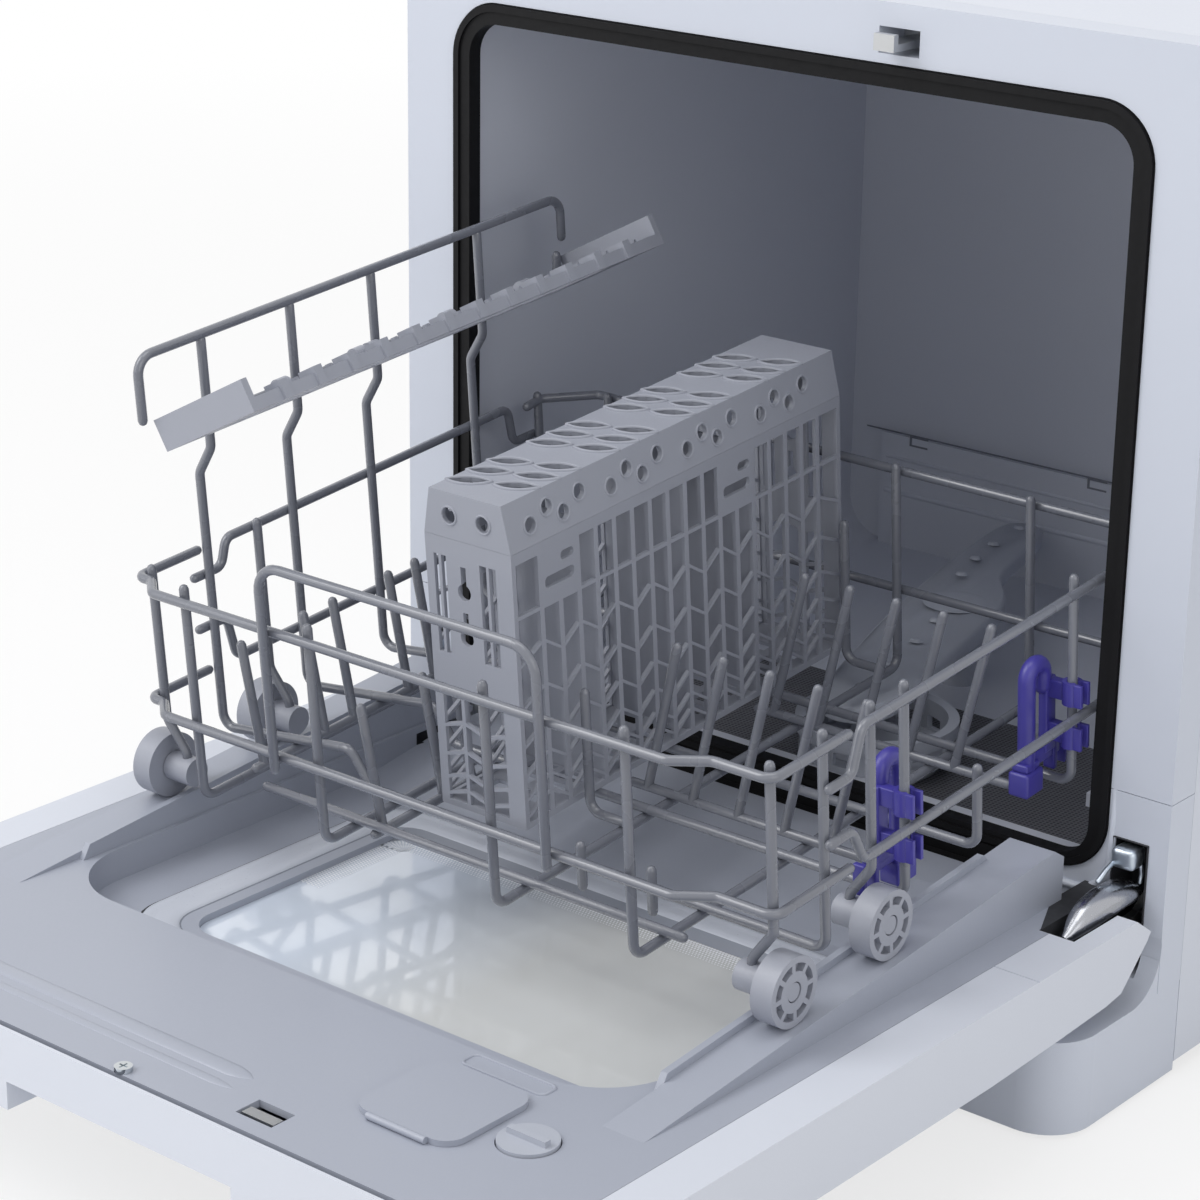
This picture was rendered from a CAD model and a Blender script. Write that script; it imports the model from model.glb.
import bpy
import bmesh
import math
from mathutils import Matrix, Vector


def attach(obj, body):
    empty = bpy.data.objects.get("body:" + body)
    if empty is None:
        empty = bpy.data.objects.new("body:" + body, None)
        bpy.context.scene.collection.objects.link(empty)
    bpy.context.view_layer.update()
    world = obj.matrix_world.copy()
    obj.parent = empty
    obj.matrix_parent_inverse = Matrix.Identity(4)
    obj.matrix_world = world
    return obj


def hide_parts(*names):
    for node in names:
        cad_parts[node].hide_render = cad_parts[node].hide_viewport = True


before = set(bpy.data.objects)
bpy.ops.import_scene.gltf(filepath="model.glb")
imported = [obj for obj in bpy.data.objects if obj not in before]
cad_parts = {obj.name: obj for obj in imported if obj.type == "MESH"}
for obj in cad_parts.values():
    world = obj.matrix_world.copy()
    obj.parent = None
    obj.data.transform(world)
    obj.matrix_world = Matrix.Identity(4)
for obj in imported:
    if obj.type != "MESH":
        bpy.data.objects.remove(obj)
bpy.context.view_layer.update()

# ---------------------------------------------------------------------------
# Viewpoint and studio: a camera above the open door's right-hand corner, a pale
# floor and soft lamps. Nothing here belongs to the dishwasher.
azimuth, pitch, roll = (math.radians(a) for a in (39.5, 19.55, 0.86))
eye = (0.81745, -1.13294, 0.65253)
ahead = Vector((-math.sin(azimuth) * math.cos(pitch), math.cos(azimuth) * math.cos(pitch), -math.sin(pitch)))
sideways = Vector((math.cos(azimuth), math.sin(azimuth), 0))
upward = sideways.cross(ahead)
image_right = sideways * math.cos(roll) + upward * math.sin(roll)
image_up = upward * math.cos(roll) - sideways * math.sin(roll)
optics = bpy.data.cameras.new("camera")
optics.lens, optics.sensor_width, optics.clip_end = 99.42, 36, 60
camera = bpy.data.objects.new("camera", optics)
bpy.context.collection.objects.link(camera)
turn = Matrix((image_right, image_up, -ahead)).transposed().to_4x4()
camera.matrix_world = Matrix.Translation(eye) @ turn
bpy.context.scene.camera = camera
bpy.context.scene.view_settings.view_transform = "Standard"


def lamp(name, place, aim, size, power):
    """A square softbox at place, turned to face aim."""
    light = bpy.data.lights.new(name, "AREA")
    light.size, light.energy = size, power
    lit = bpy.data.objects.new(name, light)
    lit.location = place
    lit.rotation_euler = (Vector(aim) - Vector(place)).to_track_quat("-Z", "Y").to_euler()
    bpy.context.collection.objects.link(lit)


lamp("key_softbox", (-1.4, -1.7, 2.3), (0, -0.1, 0.15), 1.6, 34)
lamp("fill_softbox", (2.2, -1.2, 1.2), (0, 0, 0.2), 1.6, 9)
lamp("front_softbox", (-1.2, -1.6, 0.75), (0, 0.1, 0.2), 1.0, 4)
lamp("top_softbox", (0.1, -0.3, 2.6), (0, 0, 0.1), 1.4, 12)

# The sky is white wherever it is seen, directly, through a pane or in a gloss, and
# lights the object with less.
seen_sky, lighting_sky = 1.0, 0.62
world = bpy.data.worlds.new("studio")
bpy.context.scene.world = world
world.use_nodes = True
wn, wl = world.node_tree.nodes, world.node_tree.links
seen = wn.new("ShaderNodeLightPath")
either, any_of = wn.new("ShaderNodeMath"), wn.new("ShaderNodeMath")
either.operation = any_of.operation = "MAXIMUM"
wl.new(seen.outputs["Is Camera Ray"], either.inputs[0])
wl.new(seen.outputs["Is Transmission Ray"], either.inputs[1])
wl.new(either.outputs[0], any_of.inputs[0])
wl.new(seen.outputs["Is Glossy Ray"], any_of.inputs[1])
strength = wn.new("ShaderNodeMapRange")
strength.inputs["To Min"].default_value = lighting_sky
strength.inputs["To Max"].default_value = seen_sky
wl.new(any_of.outputs[0], strength.inputs["Value"])
wl.new(strength.outputs["Result"], wn["Background"].inputs["Strength"])
wn["Background"].inputs["Color"].default_value = (1, 1, 1, 1)

# The floor glows for the camera alone: partly near the object, so that a shadow
# stays, and fully from blank_at metres on, where it runs into the white sky.
floor_half, paper_white = 9, 0.86
glow_near, glow_far, blank_from, blank_at = 0.72, 1.0, 0.7, 2.2
bm = bmesh.new()
bmesh.ops.create_grid(bm, x_segments=24, y_segments=24, size=floor_half)
floor_mesh = bpy.data.meshes.new("floor")
bm.to_mesh(floor_mesh)
bm.free()
floor = bpy.data.objects.new("floor", floor_mesh)
bpy.context.collection.objects.link(floor)
paper = bpy.data.materials.new("studio_paper")
paper.use_nodes = True
pn, pl = paper.node_tree.nodes, paper.node_tree.links
pn["Principled BSDF"].inputs["Base Color"].default_value = (paper_white, paper_white, paper_white, 1)
pn["Principled BSDF"].inputs["Roughness"].default_value = 0.9
glow = pn.new("ShaderNodeEmission")
glow.inputs["Strength"].default_value = 1.0
over = pn.new("ShaderNodeMixShader")
path, spot_on_floor = pn.new("ShaderNodeLightPath"), pn.new("ShaderNodeTexCoord")
away, fade, share = pn.new("ShaderNodeVectorMath"), pn.new("ShaderNodeMapRange"), pn.new("ShaderNodeMath")
away.operation, share.operation = "LENGTH", "MULTIPLY"
pl.new(spot_on_floor.outputs["Object"], away.inputs[0])
fade.inputs["From Min"].default_value, fade.inputs["From Max"].default_value = blank_from, blank_at
fade.inputs["To Min"].default_value, fade.inputs["To Max"].default_value = glow_near, glow_far
pl.new(away.outputs["Value"], fade.inputs["Value"])
pl.new(path.outputs["Is Camera Ray"], share.inputs[0])
pl.new(fade.outputs["Result"], share.inputs[1])
pl.new(share.outputs[0], over.inputs[0])
pl.new(pn["Principled BSDF"].outputs[0], over.inputs[1])
pl.new(glow.outputs[0], over.inputs[2])
pl.new(over.outputs[0], pn["Material Output"].inputs["Surface"])
floor_mesh.materials.append(paper)


# ---------------------------------------------------------------------------
# Cabinet shell: folded sheet-steel wrap and rear panel under white powder coat,
# a moulded front frame in two pieces and a moulded plinth in the same white. The
# pan under it and its hinges, catches and heater are zinc-plated steel.
def finish(name, colour, rough, grain, depth, metal=0.0, patchy=0.05, gloss=0.5):
    """A finish whose colour, roughness and height drift a little over the surface.

    grain is the scale of its fine noise and depth the strength of that relief;
    patchy is the share by which the colour drifts over a few centimetres.
    """
    patch_scale, rough_drift, relief_high = 11, 0.05, 0.0003
    made = bpy.data.materials.new(name)
    made.use_nodes = True
    nodes, links = made.node_tree.nodes, made.node_tree.links
    shader = nodes["Principled BSDF"]
    shader.inputs["Metallic"].default_value = metal
    shader.inputs["Specular IOR Level"].default_value = gloss
    spot = nodes.new("ShaderNodeTexCoord")
    broad, fine = nodes.new("ShaderNodeTexNoise"), nodes.new("ShaderNodeTexNoise")
    for noise, scale, detail in ((broad, patch_scale, 4), (fine, grain, 3)):
        noise.inputs["Scale"].default_value = scale
        noise.inputs["Detail"].default_value = detail
        links.new(spot.outputs["Object"], noise.inputs["Vector"])
    tint = nodes.new("ShaderNodeMix")
    tint.data_type = "RGBA"
    tint.inputs["A"].default_value = (*(c * (1 - patchy) for c in colour), 1)
    tint.inputs["B"].default_value = (*(min(1, c * (1 + patchy)) for c in colour), 1)
    links.new(broad.outputs["Fac"], tint.inputs["Factor"])
    links.new(tint.outputs["Result"], shader.inputs["Base Color"])
    sheen = nodes.new("ShaderNodeMapRange")
    sheen.inputs["From Min"].default_value = 0.3
    sheen.inputs["From Max"].default_value = 0.7
    sheen.inputs["To Min"].default_value = rough - rough_drift
    sheen.inputs["To Max"].default_value = rough + rough_drift
    links.new(fine.outputs["Fac"], sheen.inputs["Value"])
    links.new(sheen.outputs["Result"], shader.inputs["Roughness"])
    relief = nodes.new("ShaderNodeBump")
    relief.inputs["Strength"].default_value = depth
    relief.inputs["Distance"].default_value = relief_high
    links.new(fine.outputs["Fac"], relief.inputs["Height"])
    links.new(relief.outputs["Normal"], shader.inputs["Normal"])
    return made


def dress(material, *nodes, round_off=0.0):
    """Puts a finish on CAD nodes, with their sharp edges rounded by round_off metres."""
    for node in nodes:
        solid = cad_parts[node]
        if not solid.material_slots:
            solid.data.materials.append(material)
        for place in solid.material_slots:
            place.link = "OBJECT"
            place.material = material
        if round_off:
            edge = solid.modifiers.new("edges", "BEVEL")
            edge.width, edge.segments, edge.limit_method = round_off, 2, "ANGLE"
            edge.angle_limit = math.radians(40)
            edge.use_clamp_overlap = True


powder_white = finish("powder_white", (0.64, 0.67, 0.745), 0.42, 900, 0.12, patchy=0.015)
moulded_white = finish("moulded_white", (0.58, 0.615, 0.7), 0.36, 1400, 0.06, patchy=0.015)
zinc = finish("zinc_plate", (0.52, 0.53, 0.54), 0.34, 260, 0.15, metal=1.0, patchy=0.12)
dress(powder_white, "wrap", round_off=0.0005)
dress(powder_white, "rear_panel")
dress(moulded_white, "front_frame", "lower_frame", round_off=0.0008)
dress(moulded_white, "plinth", round_off=0.004)
dress(zinc, "base_pan", "strike", "hinge_l", "hinge_r", "heater", "latch")

# ---------------------------------------------------------------------------
# Wash tub: one deep moulding in grey, with ledges for the wheels. The ledge along
# its rear wall has two catches at its top, and two soft folds run below them.
tub_grey = finish("tub_grey", (0.59, 0.615, 0.69), 0.4, 500, 0.06, patchy=0.03)
grey_plastic = finish("grey_plastic", (0.43, 0.455, 0.52), 0.4, 700, 0.08, patchy=0.03)
dress(tub_grey, "tub", "tub_rails")
dress(grey_plastic, "rail_guides", "filter_cup", "spray_post", "float_cap", "rinse_cap", "micro_filter",
      round_off=0.0005)
front_plane, rim_level = -30.0, 84.0


def in_cabinet(x, y, z):
    """A point measured from the front plane and the door's rim, in millimetres."""
    return Vector((x, y + front_plane, z + rim_level)) / 1000


def bent(points, bend):
    """The same path with its corners turned into arcs of radius bend."""
    straight, leg_share, arc_step = 0.02, 0.48, math.radians(14)
    path = [points[0]]
    for before, corner, after in zip(points, points[1:], points[2:]):
        back, on = (before - corner), (after - corner)
        turn_by = math.pi - back.angle(on)
        if turn_by < straight:
            continue
        reach = min(bend * math.tan(turn_by / 2), back.length * leg_share, on.length * leg_share)
        radius = reach / math.tan(turn_by / 2)
        start, end = corner + back.normalized() * reach, corner + on.normalized() * reach
        halfway = (back.normalized() + on.normalized()).normalized()
        middle = corner + halfway * radius / math.cos(turn_by / 2)
        steps = max(2, math.ceil(turn_by / arc_step))
        first, last = start - middle, end - middle
        for step in range(steps + 1):
            path.append(middle + first.slerp(last, step / steps).normalized() * radius)
    path.append(points[-1])
    return path


def sweep(bm, path, thick, sides=12):
    """Adds a round tube along path, with domed ends."""
    dome_angles = (0.7, 1.25)
    radius, along = thick / 2, (path[1] - path[0]).normalized()
    across = along.orthogonal().normalized()
    rings = []

    def ring(at, side, size):
        other = side.cross(heading)
        spokes = [(math.cos(math.tau * k / sides), math.sin(math.tau * k / sides)) for k in range(sides)]
        return [bm.verts.new(at + (side * c + other * s) * size) for c, s in spokes]

    for number, at in enumerate(path):
        heading = (path[min(number + 1, len(path) - 1)] - path[max(number - 1, 0)]).normalized()
        across = (across - heading * across.dot(heading)).normalized()
        if number == 0:
            for up in reversed(dome_angles):
                rings.append(ring(at - heading * radius * math.sin(up), across, radius * math.cos(up)))
        rings.append(ring(at, across, radius))
        if number == len(path) - 1:
            for up in dome_angles:
                rings.append(ring(at + heading * radius * math.sin(up), across, radius * math.cos(up)))
    for low, high in zip(rings, rings[1:]):
        for k in range(sides):
            bm.faces.new((low[k - 1], low[k], high[k], high[k - 1]))
    bm.faces.new(rings[0])
    bm.faces.new(rings[-1][::-1])


def shown(name, bm, material, body, slot, *stands_for, smooth=True):
    """Turns a bmesh into a piece that rides on a body."""
    bmesh.ops.recalc_face_normals(bm, faces=bm.faces)
    mesh = bpy.data.meshes.new(name)
    bm.to_mesh(mesh)
    bm.free()
    if smooth:
        mesh.shade_smooth()
        mesh.set_sharp_from_angle(angle=math.radians(38))
    mesh.materials.append(material)
    piece = bpy.data.objects.new(name, mesh)
    bpy.context.collection.objects.link(piece)
    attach(piece, body)
    if stands_for:
        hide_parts(*stands_for)


ledge_face, fold_half, fold_in = 314.8, 152, 0.3
bm = bmesh.new()
for level, thick in ((46, 2.4), (27, 3.6)):
    sweep(bm, [in_cabinet(x, ledge_face + fold_in * thick, level) for x in (-fold_half, fold_half)],
          thick / 1000)
shown("tub_folds", bm, tub_grey, "cabinet", "grey_plastic")

# Each catch is cut free by a slit round three of its sides. A seam runs along the
# ledge's top, where it meets the wall.
ledge_shadow = finish("ledge_shadow", (0.19, 0.2, 0.235), 0.6, 300, 0.1, patchy=0.1)
catch_long, slit_wide, slit_deep = 11.5, 1.4, 0.8
catch_low, slit_low, slit_high, catch_high = 54.4, 55.4, 59.2, 60.4
seam_half, seam_level, seam_in, seam_thick = 166, 60.3, 0.5, 0.0009
bm = bmesh.new()
for start in (-138, -27):
    slit, end = start + slit_wide, start + catch_long
    outline = [(start, catch_low), (start, catch_high), (end, catch_high), (end, slit_high),
               (slit, slit_high), (slit, slit_low), (end, slit_low), (end, catch_low)]
    near = [bm.verts.new(in_cabinet(x, ledge_face, z)) for x, z in outline]
    far = [bm.verts.new(in_cabinet(x, ledge_face + slit_deep, z)) for x, z in outline]
    bm.faces.new(near)
    bm.faces.new(far[::-1])
    for k in range(len(outline)):
        bm.faces.new((near[k - 1], near[k], far[k], far[k - 1]))
sweep(bm, [in_cabinet(x, ledge_face + seam_in, seam_level) for x in (-seam_half, seam_half)], seam_thick)
shown("ledge_gaps", bm, ledge_shadow, "cabinet", "grey_plastic", smooth=False)

# ---------------------------------------------------------------------------
# Spray arm: a hollow moulding whose two blades narrow in a soft curve on their
# trailing side. Small nozzles stand up from its top, which falls towards the tips.
arm_hub, arm_turn, arm_top = (-4, 168), math.radians(15), 35.3
fall_from, fall_slope = 50, 0.03


def on_arm(x, y, z):
    """A point of the arm's own frame, with its blades along y."""
    return in_cabinet(arm_hub[0] + x * math.cos(arm_turn) - y * math.sin(arm_turn),
                      arm_hub[1] + x * math.sin(arm_turn) + y * math.cos(arm_turn), z)


def fallen(y):
    """How far the arm's top has come down at a distance from its hub."""
    return max(0, abs(y) - fall_from) * fall_slope


def softened(points, passes=3):
    """Cuts the corners of a closed outline until it runs smooth."""
    for _ in range(passes):
        cut = []
        for (x0, y0), (x1, y1) in zip(points, points[1:] + points[:1]):
            cut += [(0.75 * x0 + 0.25 * x1, 0.75 * y0 + 0.25 * y1),
                    (0.25 * x0 + 0.75 * x1, 0.25 * y0 + 0.75 * y1)]
        points = cut
    return points


def inward(points, step):
    """Moves a closed outline in by step, along its own normals."""
    moved = []
    for k, (x, y) in enumerate(points):
        (x0, y0), (x1, y1) = points[k - 1], points[(k + 1) % len(points)]
        size = math.hypot(x1 - x0, y1 - y0)
        moved.append((x - (y1 - y0) / size * step, y + (x1 - x0) / size * step))
    return moved


rear_blade = [(18, 0), (17, 14), (12, 30), (4, 46), (1, 62), (0, 88), (0, 118), (-2, 136), (-9, 145),
              (-18, 144.5), (-25, 136), (-27.5, 116), (-28.5, 70), (-29, 20)]
front_blade = [(-29, -20), (-27, -70), (-25, -115), (-22, -134), (-14, -144), (-2, -145), (8, -140),
               (14, -122), (16, -80), (18, -40)]
outline = softened(rear_blade + front_blade)
underside = 9
bm = bmesh.new()
layers = []
for step, drop in ((0.6, underside), (0, 8), (0, 2.2), (0.7, 0.8), (2.0, 0)):
    layers.append([bm.verts.new(on_arm(x, y, arm_top - drop - (0 if drop == underside else fallen(y))))
                   for x, y in inward(outline, step)])
for low, high in zip(layers, layers[1:]):
    for k in range(len(outline)):
        bm.faces.new((low[k - 1], low[k], high[k], high[k - 1]))
bm.faces.new(layers[0][::-1])
bm.faces.new(layers[-1])
shown("spray_arm_shell", bm, grey_plastic, "spray_arm_body", "grey_plastic", "spray_arm")


def low_dome(bm, middle, along, across, half_long, half_wide, high, steps=16):
    """Adds a low dome with an oval foot."""
    up, rows = along.cross(across), []
    for share in (1.0, 0.8, 0.45):
        lift = high * math.sqrt(1 - share ** 2)
        rows.append([bm.verts.new(middle + along * (half_long * share * math.cos(math.tau * k / steps))
                                  + across * (half_wide * share * math.sin(math.tau * k / steps)) + up * lift)
                     for k in range(steps)])
    for low, high_row in zip(rows, rows[1:]):
        for k in range(steps):
            bm.faces.new((low[k - 1], low[k], high_row[k], high_row[k - 1]))
    bm.faces.new(rows[-1])


nozzles = ((-14, 132), (-17, 98), (-17, 70), (-15, 42), (-4, -28), (-3, -58), (-6, -90), (-7, -120))
nozzle_size, boss_size = (0.0032, 0.0024, 0.0017), (0.016, 0.016, 0.002)
boss_spot, dome_sunk = (-4, 2), 0.1
east = (on_arm(1, 0, 0) - on_arm(0, 0, 0)).normalized()
north = (on_arm(0, 1, 0) - on_arm(0, 0, 0)).normalized()
bm = bmesh.new()
for x, y in nozzles:
    low_dome(bm, on_arm(x, y, arm_top - fallen(y) - dome_sunk), east, north, *nozzle_size)
low_dome(bm, on_arm(*boss_spot, arm_top - dome_sunk), east, north, *boss_size, steps=32)
shown("spray_nozzles", bm, grey_plastic, "spray_arm_body", "grey_plastic")

# ---------------------------------------------------------------------------
# Rear panel's fixings: eight domed steel screws round its edge, driven into the
# fold of the wrap.
rear_face, panel_low, panel_high, panel_side, top_screw_side = 0.403, 0.034, 0.424, 0.2, 0.07
screw_sunk, screw_radius, screw_high = 0.0002, 0.0036, 0.0016
bm = bmesh.new()
for side in (-1, 1):
    spots = [(side * panel_side, panel_low + (panel_high - panel_low) * up) for up in (0, 0.5, 1)]
    for x, z in spots + [(side * top_screw_side, panel_high)]:
        low_dome(bm, Vector((x, rear_face - screw_sunk, z)), Vector((1, 0, 0)), Vector((0, 0, -1)),
                 screw_radius, screw_radius, screw_high)
shown("panel_screws", bm, zinc, "cabinet", "galvanised_steel")

# ---------------------------------------------------------------------------
# Rubber, moulded in black: the gasket that lines the edge of the opening and stands
# a little in front of it, the flap that seals the sill, and the feet.
rubber = finish("black_rubber", (0.005, 0.005, 0.006), 0.6, 300, 0.1, patchy=0.2, gloss=0.2)
dress(rubber, "gasket", "sill_seal", "feet")

# ---------------------------------------------------------------------------
# Filter plate: dark plastic pierced by rows of fine holes, with grey lands between
# them. The sump and the pumps under it are moulded in black, the inlet valve in
# white.
mesh_dark = finish("filter_mesh", (0.12, 0.122, 0.135), 0.45, 300, 0.2, patchy=0.1)
hole_pitch, hole_edge, land_edge = 0.0021, 0.42, 0.22
# A wave of scale 1 repeats every pi / 10 metres.
mn, ml = mesh_dark.node_tree.nodes, mesh_dark.node_tree.links
place = mn.new("ShaderNodeTexCoord")
rows = []
for direction in ("X", "Y"):
    row = mn.new("ShaderNodeTexWave")
    row.bands_direction = direction
    row.inputs["Scale"].default_value = math.pi / 10 / hole_pitch
    ml.new(place.outputs["Object"], row.inputs["Vector"])
    rows.append(row)
hole = mn.new("ShaderNodeMath")
hole.operation = "MULTIPLY"
ml.new(rows[0].outputs["Fac"], hole.inputs[0])
ml.new(rows[1].outputs["Fac"], hole.inputs[1])
rim_of_hole = mn.new("ShaderNodeMapRange")
rim_of_hole.inputs["From Min"].default_value = land_edge
rim_of_hole.inputs["From Max"].default_value = hole_edge
ml.new(hole.outputs[0], rim_of_hole.inputs["Value"])
pierced = mn.new("ShaderNodeMix")
pierced.data_type = "RGBA"
pierced.inputs["B"].default_value = (0.008, 0.008, 0.01, 1)
tinted = mn["Principled BSDF"].inputs["Base Color"].links[0].from_socket
ml.new(tinted, pierced.inputs["A"])
ml.new(rim_of_hole.outputs["Result"], pierced.inputs["Factor"])
ml.new(pierced.outputs["Result"], mn["Principled BSDF"].inputs["Base Color"])
pump_dark = finish("pump_plastic", (0.05, 0.05, 0.055), 0.5, 300, 0.2, patchy=0.1)
dress(mesh_dark, "filter_plate")
dress(pump_dark, "sump", "wash_pump", "drain_pump")
dress(moulded_white, "inlet_valve")

# ---------------------------------------------------------------------------
# Door: a painted steel skin over a grey moulded liner, which carries the dispenser.
# Its window is two panes in a well, with a raised frame and a seal round them.
liner_grey = finish("liner_grey", (0.375, 0.4, 0.47), 0.36, 900, 0.08, patchy=0.02)
dress(powder_white, "door_skin")
dress(liner_grey, "door_liner", "dispenser", "dispenser_lid")
well_floor = -14.0


def screen(points, level):
    """Turns a flat outline into scene points at one level of the door."""
    return [in_cabinet(x, y, level) for x, y in points]


def round_box(x0, x1, y0, y1, radius, steps=8):
    """A rectangle's outline with round corners."""
    loop = []
    centres = ((x1 - radius, y1 - radius), (x0 + radius, y1 - radius),
               (x0 + radius, y0 + radius), (x1 - radius, y0 + radius))
    for start, (cx, cy) in enumerate(centres):
        for k in range(steps + 1):
            a = math.pi / 2 * (start + k / steps)
            loop.append((cx + radius * math.cos(a), cy + radius * math.sin(a)))
    return loop


def border(bm, loops):
    """Joins loops of equal length, each to the next."""
    rows = [[bm.verts.new(p) for p in loop] for loop in loops]
    for low, high in zip(rows, rows[1:]):
        for k in range(len(low)):
            bm.faces.new((low[k - 1], low[k], high[k], high[k - 1]))


outer, inner = (-121.5, 150.6, -272.0, -107.5, 22.0), (-105.0, 142.0, -263.0, -121.0, 17.0)
lip = (-98.6, 138.2, -257.4, -125.6, 14.0)
gap_edge = (outer[0] - 1.3, outer[1] + 0.3, outer[2] - 1.3, outer[3] + 1.3, 23.0)
frame_section = ((0, 0.02), (0.02, 0.9), (0.1, 1.5), (0.22, 1.55), (0.34, 1.25), (0.42, 1.25), (0.7, 1.3),
                 (0.94, 1.0), (1.0, 0.3))
seal_top, seal_foot, gap_high = 0.31, -16.98, 0.05
frame_pale = finish("frame_pale", (0.56, 0.59, 0.665), 0.32, 900, 0.06, patchy=0.02)
seal_grey = finish("seal_grey", (0.24, 0.26, 0.31), 0.45, 600, 0.1, patchy=0.03)
dark_gap = finish("dark_gap", (0.03, 0.031, 0.036), 0.6, 300, 0.1, patchy=0.1)


def between(share):
    """The frame's outline at a share of the way in from its outer edge."""
    return round_box(*(a + (b - a) * share for a, b in zip(outer, inner)))


bm = bmesh.new()
border(bm, [screen(between(share), well_floor + high) for share, high in frame_section])
shown("window_frame", bm, frame_pale, "door", "liner_plastic")
bm = bmesh.new()
border(bm, [screen(round_box(*inner), well_floor + seal_top), screen(round_box(*lip), seal_foot)])
shown("window_seal", bm, seal_grey, "door", "liner_plastic")
bm = bmesh.new()
border(bm, [screen(round_box(*edge), well_floor + gap_high) for edge in (gap_edge, outer)])
shown("window_gap", bm, dark_gap, "door", "liner_plastic")

# The panes are cream at the right and turn blue towards the left.
pane = finish("window_pane", (0.66, 0.675, 0.675), 0.1, 22, 0.0, patchy=0.03, gloss=0.9)
cream_at, blue_at = 0.03, -0.05
an, al = pane.node_tree.nodes, pane.node_tree.links
across_pane, axes, cooler, tinge = (an.new("ShaderNode" + kind)
                                    for kind in ("TexCoord", "SeparateXYZ", "MapRange", "Mix"))
al.new(across_pane.outputs["Object"], axes.inputs[0])
al.new(axes.outputs["X"], cooler.inputs["Value"])
cooler.inputs["From Min"].default_value, cooler.inputs["From Max"].default_value = cream_at, blue_at
tinge.data_type = "RGBA"
tinge.inputs["B"].default_value = (0.68, 0.75, 0.86, 1)
al.new(an["Principled BSDF"].inputs["Base Color"].links[0].from_socket, tinge.inputs["A"])
al.new(cooler.outputs["Result"], tinge.inputs["Factor"])
al.new(tinge.outputs["Result"], an["Principled BSDF"].inputs["Base Color"])
an["Principled BSDF"].inputs["Coat Weight"].default_value = 0.6
an["Principled BSDF"].inputs["Coat Roughness"].default_value = 0.02
dress(pane, "glass_inner", "glass_outer")

# Window's printed border: white ceramic dots, smaller in each row from the pane's
# edge. A row runs up the left side, round the corner and along the rear side.
print_white = finish("print_white", (0.86, 0.88, 0.92), 0.35, 400, 0.05, patchy=0.03)
dot_rows, row_dots, side_dots, turn_dots, dot_sides = 8, 184, 34, 12, 8
dot_pitch, edge_gap, dot_radius, dot_shrink, print_level = 1.5, 0.9, 0.7, 0.05, -16.99
pane_left, pane_rear, turn_radius = lip[0], lip[3], lip[4]
bm = bmesh.new()
for row in range(dot_rows):
    for k in range(row_dots):
        inset = row * dot_pitch + edge_gap
        shift = dot_pitch / 2 * (row % 2)
        if k < side_dots:
            x, y = pane_left + inset, pane_rear - turn_radius - k * dot_pitch - shift
        elif k < side_dots + turn_dots:
            a = math.pi * (1 - 0.5 * (k - side_dots) / turn_dots)
            x = pane_left + turn_radius + (turn_radius - inset) * math.cos(a)
            y = pane_rear - turn_radius + (turn_radius - inset) * math.sin(a)
        else:
            x = pane_left + turn_radius + (k - side_dots - turn_dots) * dot_pitch + shift
            y = pane_rear - inset
        size = dot_radius - dot_shrink * row
        bm.faces.new([bm.verts.new(in_cabinet(x + size * math.cos(a), y + size * math.sin(a), print_level))
                      for a in (math.tau * j / dot_sides for j in range(dot_sides))])
shown("window_dots", bm, print_white, "door", "clear_glass")

# Liner's face: two low beads along its front, and a raised outline for a label.
bead_sides, bead_taper = 10, ((-178, 0.1), (-176, 0.8), (28, 0.9), (34, 0.6), (38, 0.08))
label_box, label_level, label_bead = (86, 126, -292.5, -283.5, 3.0), 0.05, 1.3
bm = bmesh.new()
for y, wide, high in ((-351.5, 4.6, 0.9), (-361.5, 2.4, 0.5)):
    rows = []
    for x, shrink in bead_taper:
        rows.append([bm.verts.new(in_cabinet(x, y + wide * shrink * math.cos(a), high * shrink * math.sin(a)))
                     for a in (math.pi * j / bead_sides for j in range(bead_sides + 1))])
    for low, high_row in zip(rows, rows[1:]):
        for k in range(1, bead_sides + 1):
            bm.faces.new((low[k - 1], low[k], high_row[k], high_row[k - 1]))
shown("liner_beads", bm, liner_grey, "door", "liner_plastic")


def rim(bm, loop, thick, sides=8):
    """Adds a closed ring of round section along loop, thick millimetres across."""
    count, rings = len(loop), []
    spokes = [(math.cos(math.tau * j / sides), math.sin(math.tau * j / sides)) for j in range(sides)]
    flat = (loop[count // 3] - loop[0]).cross(loop[2 * count // 3] - loop[0]).normalized()
    for k, at in enumerate(loop):
        heading = (loop[(k + 1) % count] - loop[k - 1]).normalized()
        out = heading.cross(flat)
        rings.append([bm.verts.new(at + (out * c + flat * s) * thick / 2000) for c, s in spokes])
    for k in range(count):
        for j in range(sides):
            bm.faces.new((rings[k - 1][j - 1], rings[k - 1][j], rings[k][j], rings[k][j - 1]))


bm = bmesh.new()
rim(bm, screen(round_box(*label_box), label_level), label_bead)
shown("label_outline", bm, liner_grey, "door", "liner_plastic")

# ---------------------------------------------------------------------------
# Controls and screws: four plated push buttons come through the door's skin from a
# green circuit board behind it. Three plated screws fix the liner at the door's end.
board_green = finish("board_green", (0.02, 0.12, 0.04), 0.4, 300, 0.2)
dress(board_green, "door_board")
chrome = finish("bright_chrome", (0.62, 0.65, 0.67), 0.14, 300, 0.05, metal=1.0, patchy=0.05)
dress(chrome, "screws", "button_1", "button_2", "button_3", "button_4", round_off=0.0004)

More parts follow.
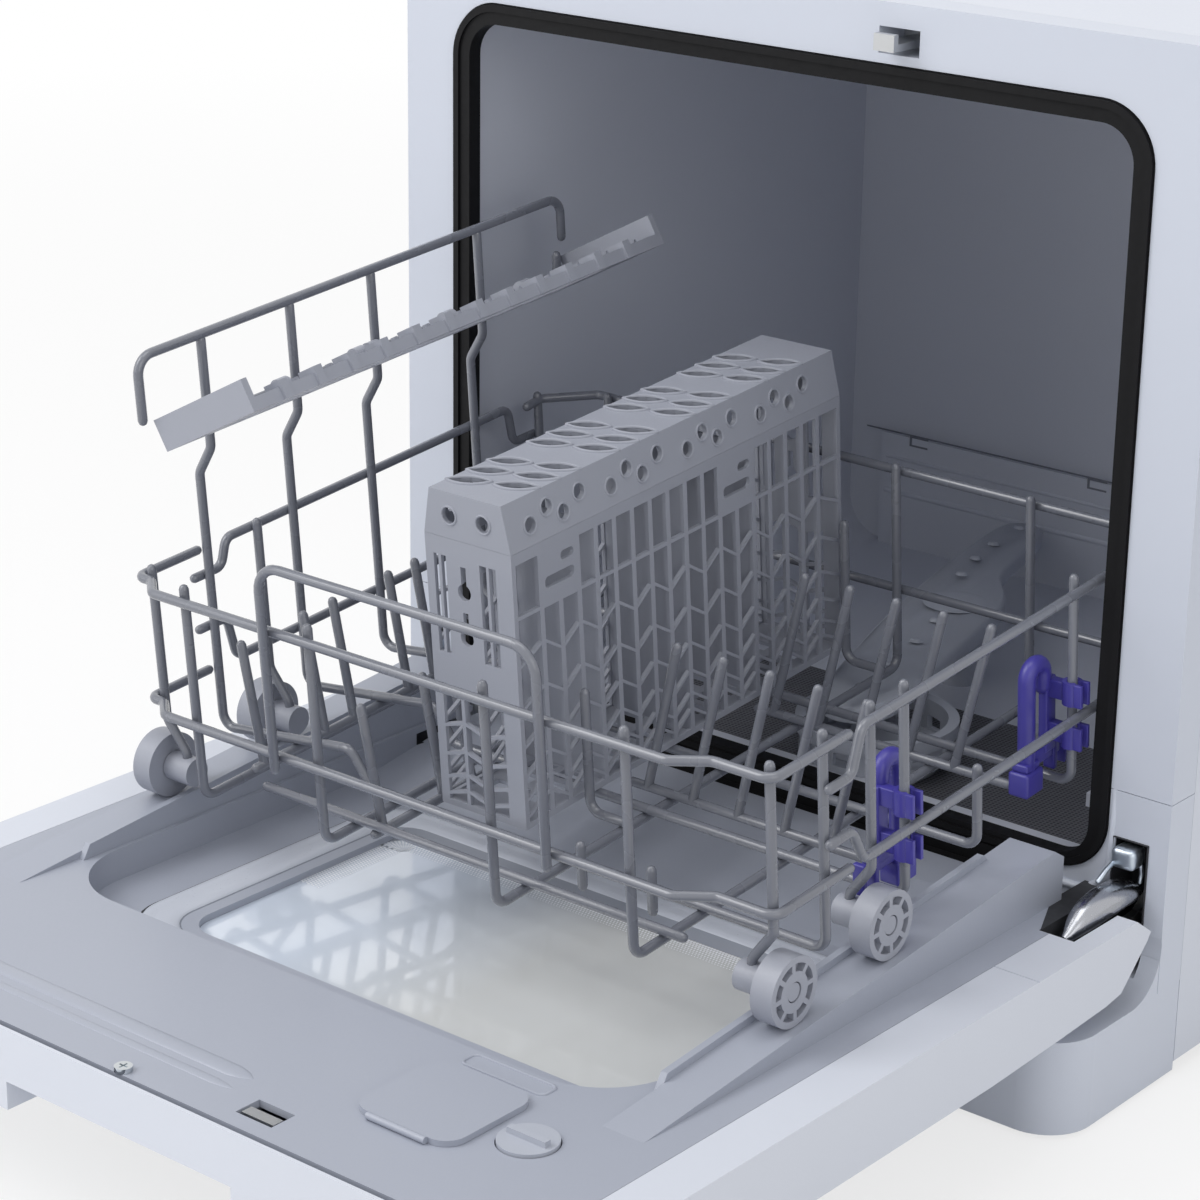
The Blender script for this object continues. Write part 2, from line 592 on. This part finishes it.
# ---------------------------------------------------------------------------
# Hinge corners: a pressed chrome arm runs from the door's slot up to its pin, and
# a zinc block with two springs of wire stands over it. A pale lip rounds the sill.
arm_side, arm_sides = 192.0, 28
arm_steel = finish("arm_steel", (0.4, 0.41, 0.44), 0.24, 500, 0.03, metal=1.0, patchy=0.08)
block_zinc = finish("block_zinc", (0.55, 0.61, 0.68), 0.36, 700, 0.2, metal=1.0, patchy=0.12)
# Each row is the arm's section at one distance: its lower edge, upper edge and width.
spoon = [(-48.0, -5.0, -2.6, 3.0), (-45.5, -5.8, -1.0, 5.0), (-41.5, -5.8, 2.5, 8.0),
         (-37.0, -5.6, 5.8, 10.5), (-31.0, -5.4, 8.0, 12.5), (-22.0, -4.6, 9.2, 14.0),
         (-12.0, -3.6, 8.9, 15.0), (-4.0, -3.2, 8.0, 15.0), (1.0, -2.6, 6.4, 13.0), (3.0, -0.6, 3.8, 7.0)]
# The slot for the arm: two walls of its lining, and the dark edge round its mouth.
slot_walls = (((184.05, -53.95, -28.5), (184.5, 0.9, -0.1)), ((184.1, -53.95, -28.5), (199.9, -53.5, -0.3)))
mouth_edge = [(172, -30.4), (174.3, -31), (183.3, -51), (184.6, -53.9), (184.6, 0.9), (172, 0.9)]
mouth_low, mouth_high = -0.2, 0.08
# The block over the arm, with a wire spring at each of its sides.
block_low, block_high, block_edge = (186.5, -6, 12.5), (197.5, 4.5, 21.5), 2.4
springs = ((187.5, [(-4, 14.5), (-9, 13), (-16, 9.6)]), (196.5, [(2.5, 13), (3.6, 9), (2.6, 5.5)]))
spring_bend, spring_thick = 0.006, 0.0022
# The pocket behind the block: two sides, a top and two strips of its rear wall.
pocket_walls = (((184.05, -0.6, -33), (184.5, 17.8, 23.9)), ((200.4, -0.6, -33), (200.95, 17.8, 23.9)),
                ((184.1, -0.6, 23.5), (200.9, 17.8, 23.95)), ((184.1, 17.2, -33), (192.8, 17.8, 23.9)),
                ((196.7, 17.2, -33), (200.9, 17.8, 23.9)))
lip_line = ((183.2, 1.9, 50), (183.2, -0.5, -3.4), (150, -0.5, -3.4))
lip_bend, lip_thick = 0.026, 0.0034


def block(bm, where, low, high, edge):
    """Adds a box whose corners go through where, its edges rounded by edge millimetres."""
    corners = [bm.verts.new(where(x, y, z))
               for x in (low[0], high[0]) for y in (low[1], high[1]) for z in (low[2], high[2])]
    faces = [bm.faces.new([corners[k] for k in side]) for side in
             ((0, 1, 3, 2), (4, 6, 7, 5), (0, 4, 5, 1), (2, 3, 7, 6), (0, 2, 6, 4), (1, 5, 7, 3))]
    if edge:
        edges = list(dict.fromkeys(e for f in faces for e in f.edges))
        bmesh.ops.bevel(bm, geom=edges, offset=edge / 1000, segments=3, affect="EDGES", profile=0.6)


for side, name in ((1, "r"), (-1, "l")):
    def at_hinge(x, y, z):
        """The same point on this side of the door."""
        return in_cabinet(side * x, y, z)

    bm = bmesh.new()
    rows = []
    for y, low_edge, high_edge, wide in spoon:
        middle, half_high = (low_edge + high_edge) / 2, (high_edge - low_edge) / 2
        rows.append([bm.verts.new(at_hinge(arm_side + wide / 2 * math.cos(a), y,
                                           middle + half_high * math.sin(a)))
                     for a in (math.tau * j / arm_sides for j in range(arm_sides))])
    for low, high in zip(rows, rows[1:]):
        for k in range(arm_sides):
            bm.faces.new((low[k - 1], low[k], high[k], high[k - 1]))
    bm.faces.new(rows[0])
    bm.faces.new(rows[-1][::-1])
    shown("hinge_arm_" + name, bm, arm_steel, "door", "chrome_steel", "door_arm_" + name)

    bm = bmesh.new()
    for low, high in slot_walls:
        block(bm, at_hinge, low, high, 0)
    low, high = ([bm.verts.new(at_hinge(x, y, z)) for x, y in mouth_edge] for z in (mouth_low, mouth_high))
    bm.faces.new(low[::-1])
    bm.faces.new(high)
    for k in range(len(mouth_edge)):
        bm.faces.new((low[k - 1], low[k], high[k], high[k - 1]))
    shown("slot_lining_" + name, bm, dark_gap, "door", "dark_plastic", smooth=False)

    bm = bmesh.new()
    block(bm, at_hinge, block_low, block_high, block_edge)
    for x, path in springs:
        sweep(bm, bent([at_hinge(x, y, z) for y, z in path], spring_bend), spring_thick, sides=10)
    shown("hinge_block_" + name, bm, block_zinc, "cabinet", "galvanised_steel")

    bm = bmesh.new()
    for low, high in pocket_walls:
        block(bm, at_hinge, low, high, 0)
    shown("hinge_pocket_" + name, bm, dark_gap, "cabinet", "dark_plastic", smooth=False)

    bm = bmesh.new()
    sweep(bm, bent([at_hinge(*point) for point in lip_line], lip_bend), lip_thick)
    shown("sill_lip_" + name, bm, moulded_white, "cabinet", "moulded_white")

# ---------------------------------------------------------------------------
# Rack: steel wire bent, spot-welded at its crossings and dipped in grey nylon, so
# the ends and the corners are round. Its own frame slopes up towards the tub.
slope = math.radians(5.1)
rack_start, rack_level = -205.1, 54.8
wire_thick, wire_apart = 0.0042, 4.25
half_rack, rack_long = 162.0, 265.0
belt_out = half_rack + wire_apart
belt_front, belt_rear = -wire_apart, rack_long + wire_apart
bow_front = belt_front - 9
cross_level = -31.75
wire_grey = finish("wire_grey", (0.165, 0.175, 0.208), 0.26, 60, 0.0, patchy=0.02)
wire_grey.node_tree.nodes["Principled BSDF"].inputs["Coat Weight"].default_value = 0.6
wire_grey.node_tree.nodes["Principled BSDF"].inputs["Coat Roughness"].default_value = 0.12


def in_rack(x, u, v):
    """A point of the rack's own frame, in millimetres, as a point of the scene."""
    y = rack_start + u * math.cos(slope) - v * math.sin(slope) + front_plane
    z = rack_level + u * math.sin(slope) + v * math.cos(slope) + rim_level
    return Vector((x, y, z)) / 1000


def wires(name, lines, *stands_for, bend=6.0):
    """A piece of bent wires, each a list of points in the rack's frame."""
    bm = bmesh.new()
    for line in lines:
        sweep(bm, bent([in_rack(*p) for p in line], bend / 1000), wire_thick)
    shown(name, bm, wire_grey, "rack", "coated_wire", *stands_for)


def level_line(points, v):
    """Points of the rack's frame, all at the height v."""
    return [(x, u, v) for x, u in points]


# Belts: each is a front wire and a rear one that overlap at the sides, where the
# rear one's ends are cranked, down on the upper belt and up on the lower. The upper
# rear one is in two pieces that overlap at the left.
upper_belt, lower_belt = 56, 0
front_run = [(-belt_out, belt_front), (4 - half_rack, belt_front), (14 - half_rack, bow_front),
             (half_rack - 37, bow_front), (half_rack - 23, belt_front), (belt_out, belt_front)]
belts = [level_line([(-belt_out, 30)] + front_run + [(belt_out, 42)], v) for v in (upper_belt, lower_belt)]
for v, down_left, down_right in ((upper_belt, 12, 18), (lower_belt, -20, -15)):
    left_run = [(-belt_out, 27, v - down_left), (-belt_out, 43, v - down_left), (-belt_out, 47, v)]
    right_run = [(belt_out, belt_rear, v), (belt_out, 51, v),
                 (belt_out, 44, v - down_right), (belt_out, 30, v - down_right)]
    if v == upper_belt:
        rear_run = [(4.5 - belt_out, 240, v + 1), (4.5 - belt_out, 250, v + 2), (-142, belt_rear, v + 2)]
        belts.append(left_run + [(-belt_out, 231, v + 2), (-belt_out, 234, v - 16), (-belt_out, 249, v - 16)])
        belts.append(rear_run + right_run)
    else:
        belts.append(left_run + [(-belt_out, belt_rear, v)] + right_run)
wires("belt_wires", belts, "rack_belts", bend=5)

# Uprights: four long wires pass under the rack from front to rear. Those at the
# sides are short, and the front ones turn in at their feet.
stands = []
upright_front, upright_top, under_rack, foot_side = bow_front + wire_apart, 60, -36, 151.6
for x in (-62, 31.5, 101.5, -133):
    stands.append([(x, upright_front, upright_top), (x, upright_front, under_rack),
                   (x, rack_long, under_rack), (x, rack_long, upright_top)])
for side in (-1, 1):
    for u in (0, 62):
        stands.append([(side * half_rack, u, 59), (side * half_rack, u, -10), (side * foot_side, u, -24),
                       (side * foot_side, u, -33)])
    rear_stand = rack_long if side > 0 else 248
    stands.append([(side * half_rack, rear_stand, -4), (side * half_rack, rear_stand, upright_top)])
wires("upright_wires", stands, "rack_uprights")

# Cross wires: each runs down the right side, over the floor with a step at its left
# and up to the cup frame. A shorter one and two pegs are at the front.
crossing = []
frame_x = 8.5 - half_rack
for u, top in ((32, 59), (84, 59), (134, 3), (203.5, 60)):
    crossing.append([(half_rack, u, top), (half_rack, u, cross_level), (-74, u, cross_level),
                     (-85, u, cross_level + 15.5), (-half_rack, u, cross_level + 5), (-half_rack, u, 92),
                     (frame_x, u, 105), (frame_x, u, 152.8)])
crossing.append([(-112, 8, cross_level), (112, 8, cross_level)])
for x in (45, 81):
    crossing.append([(x, 27.75, -21), (x, 27.75, -39)])
wires("cross_wires", crossing, "rack_floor")

grip_u, grip_left, grip_right, grip_foot, grip_top = bow_front - wire_apart, -79, 67, -4, 87
grip = [(grip_left, grip_u, grip_foot), (grip_left, grip_u, grip_top), (grip_right, grip_u, grip_top),
        (grip_right, grip_u, grip_foot)]
wires("handle_wire", [grip], "handle", bend=12)

# Plate tines: two rows of five lean over together, with an upright pin before the
# first row and one behind the second.
tines = []
lean, tine_long, first_tine, tine_pitch = math.radians(15), 71, 20.6, 23.6
for u in (100, 187):
    tines.append([(12, u, cross_level), (142.6, u, cross_level)])
    for k in range(5):
        foot = first_tine + k * tine_pitch
        tines.append([(foot, u, cross_level),
                      (foot + tine_long * math.sin(lean), u, cross_level + tine_long * math.cos(lean))])
tines.append([(15, 69, 22), (15, 69, cross_level), (33, 69, cross_level)])
tines.append([(14, 250, 34), (14, 250, cross_level), (33, 250, cross_level)])
wires("plate_tines", tines, "tines_right")

side_tines = []
side_lean, side_long = math.radians(8), 54
for x, low in ((-50, -36), (-118, -25)):
    side_tines.append([(x, 8, low), (x, 140, low)])
    for u in (13, 50, 68, 103, 120):
        side_tines.append([(x, u, low),
                           (x - side_long * math.sin(side_lean), u, low + side_long * math.cos(side_lean))])
wires("side_tines", side_tines, "tines_left")

# Cup frame: a bow over the left side, and the rod that the shelf turns on.
rod_x = frame_x + wire_apart
bow = [(frame_x, -3.8, 128), (frame_x, -3.8, 155), (frame_x, 261, 155), (frame_x, 261, 136)]
rod = [(rod_x, 18, 120), (rod_x, 252, 120), (rod_x, 252, 130)]
wires("cup_frame_wire", [bow, rod], "cup_frame", bend=8)

# ---------------------------------------------------------------------------
# Rack clips: violet-blue plastic snapped round two uprights above and below the
# lower belt, each with a hooked tube and a small cup that holds the floor wire.
clip_blue = finish("clip_blue", (0.055, 0.047, 0.3), 0.33, 500, 0.1, patchy=0.06)
collar_out, collar_in, collar_gap, collar_spans = 4.3, 2.3, math.radians(35), ((4.4, 14.5), (-15, -4.8))
jaw_apart, jaw_half, tube_bend, tube_thick = 2.7, 0.9, 0.0058, 0.0074


def collar(bm, x, u, v0, v1, outer, inner, gap_from, gap_to, sides=20):
    """Adds an open ring round an upright, with a slot between two angles."""
    turn_step = (math.tau - (gap_to - gap_from)) / sides
    rows = []
    for k in range(sides + 1):
        a = gap_to + k * turn_step
        c, s = math.cos(a), math.sin(a)
        rows.append([bm.verts.new(in_rack(x + r * c, u + r * s, v))
                     for r, v in ((inner, v0), (outer, v0), (outer, v1), (inner, v1))])
    for near, far in zip(rows, rows[1:]):
        for k in range(4):
            bm.faces.new((near[k - 1], near[k], far[k], far[k - 1]))
    bm.faces.new(rows[0])
    bm.faces.new(rows[-1][::-1])


def rack_clip(end, u, way):
    """The clip on the upright at u; its tube and cup lie on the side that way gives."""
    bm = bmesh.new()
    x, tube_x, hooked_u, cup_u, fork_u = half_rack, half_rack - 13, u + way * 2.2, u + way * 14, u - way * 8
    for low, high in collar_spans:
        collar(bm, x, u, low, high, collar_out, collar_in, -collar_gap, collar_gap)
        for jaw_u in (u - jaw_apart, u + jaw_apart):
            block(bm, in_rack, (x + 2.6, jaw_u - jaw_half, low), (x + 6.4, jaw_u + jaw_half, high), 0.4)
        block(bm, in_rack, (x - 12, u - 2.3, low + 1), (x - 3.4, u + 2.3, high - 1), 0.5)
    # A backbone joins the collars. The tube, the cup with its neck, a bar and the two
    # prongs of a fork stand on it.
    block(bm, in_rack, (x - 14.2, u - 3.6, -20), (x - 10, u + 3.6, 13.6), 0.8)
    tube = [in_rack(tube_x, at_u, v)
            for at_u, v in ((hooked_u, 10), (hooked_u, 21.5), (cup_u, 21.5), (cup_u, -25))]
    sweep(bm, bent(tube, tube_bend), tube_thick, sides=16)
    block(bm, in_rack, (x - 18, cup_u - 6.4, -34.5), (x - 8.2, cup_u + 6.4, -23.5), 1.6)
    block(bm, in_rack, (x - 17, cup_u - 5, -23.5), (x - 9.4, cup_u + 5, -20), 1.0)
    block(bm, in_rack, (x - 15, min(cup_u, fork_u), -23.5), (x - 10.6, max(cup_u, fork_u), -16.5), 1.0)
    for step in (-4, 4):
        block(bm, in_rack, (x - 15.6, fork_u - 1.4 + step, -30), (x - 10, fork_u + 1.4 + step, -16.5), 0.8)
    shown(end + "_clip", bm, clip_blue, "rack", "blue_plastic", "clip_" + end)


rack_clip("front", 84, 1)
rack_clip("rear", 203.5, -1)

# ---------------------------------------------------------------------------
# Wheels and axle blocks: moulded in light grey plastic. The wheel's face has a rim,
# eight pockets and a hub, and its axle's split end holds it on.
soft_grey = finish("basket_grey", (0.33, 0.346, 0.402), 0.4, 900, 0.08, patchy=0.02)
dress(soft_grey, "wheel_stubs", "wheel_fl", "wheel_fr", "wheel_rl", "wheel_rr", round_off=0.0004)

# ---------------------------------------------------------------------------
# Folding cup shelf: a ribbed tray moulded in the same light grey plastic. Its barrels
# are snapped on the cup frame's lower rod, which it turns on.
dress(soft_grey, "cup_shelf", round_off=0.0005)

# ---------------------------------------------------------------------------
# Cutlery basket: ribbed and barred walls moulded in one, three partitions, and a
# lid whose slanted lens-shaped holes have raised rims.
dress(soft_grey, "basket", "dividers", round_off=0.00025)
dress(soft_grey, "basket_lid", round_off=0.0012)
bask_x, bask_u, bask_wide = -38.0, 37.0, 46.0
lid_v, lid_high, lid_draft = 91.75, 20.0, 4


def lens_shape(half_long, half_wide, steps=12):
    """Two arcs that meet in points."""
    radius = (half_long ** 2 + half_wide ** 2) / (2 * half_wide)
    reach = math.asin(half_long / radius)
    side = [(radius * math.sin(a), radius * math.cos(a) - radius + half_wide)
            for a in (reach * (2 * k / steps - 1) for k in range(steps))]
    return side + [(-x, -y) for x, y in side]


# Rims of the lid: slanted holes in two columns on top with every fourth pair left
# out, round ones in groups of four along both sides, and two in the front end.
hole_tilt, hole_size, top_rim, top_lift = math.radians(24), (9.6, 4.0), 1.5, 0.1
columns_apart, first_hole, lid_hole_pitch, hole_stagger = 20, 14, 12.4, 6
side_hole, side_rim, rim_lean, group_pitch = 3.6, 1.1, 0.2, 50
end_hole, end_hole_in, end_hole_high = 3.9, 14, 10
circle = [math.tau * j / 20 for j in range(20)]
bm = bmesh.new()
for k in range(16):
    if k % 4 == 3:
        continue
    for column in (0, 1):
        x0 = bask_x + bask_wide / 2 - columns_apart / 2 + column * columns_apart
        u0 = bask_u + first_hole + k * lid_hole_pitch + column * hole_stagger
        rim(bm, [in_rack(x0 + x * math.cos(hole_tilt) - y * math.sin(hole_tilt),
                         u0 + x * math.sin(hole_tilt) + y * math.cos(hole_tilt), lid_v + lid_high + top_lift)
                 for x, y in lens_shape(*hole_size)], top_rim)
for k in range(4):
    for along, high in ((0, 8), (11, 12), (20, 7), (31, 12)):
        inset = lid_draft * high / lid_high
        for centre, way in ((bask_x + inset, 1), (bask_x + (bask_wide - inset), -1)):
            rim(bm, [in_rack(centre + way * side_hole * math.sin(a) * rim_lean,
                             bask_u + first_hole + k * group_pitch + along + side_hole * math.cos(a),
                             lid_v + high + side_hole * math.sin(a)) for a in circle], side_rim)
for x in (end_hole_in, bask_wide - end_hole_in):
    rim(bm, [in_rack(bask_x + x + end_hole * math.cos(a), bask_u,
                     lid_v + end_hole_high + end_hole * math.sin(a)) for a in circle], side_rim)
shown("lid_rims", bm, soft_grey, "lid_body", "basket_plastic")
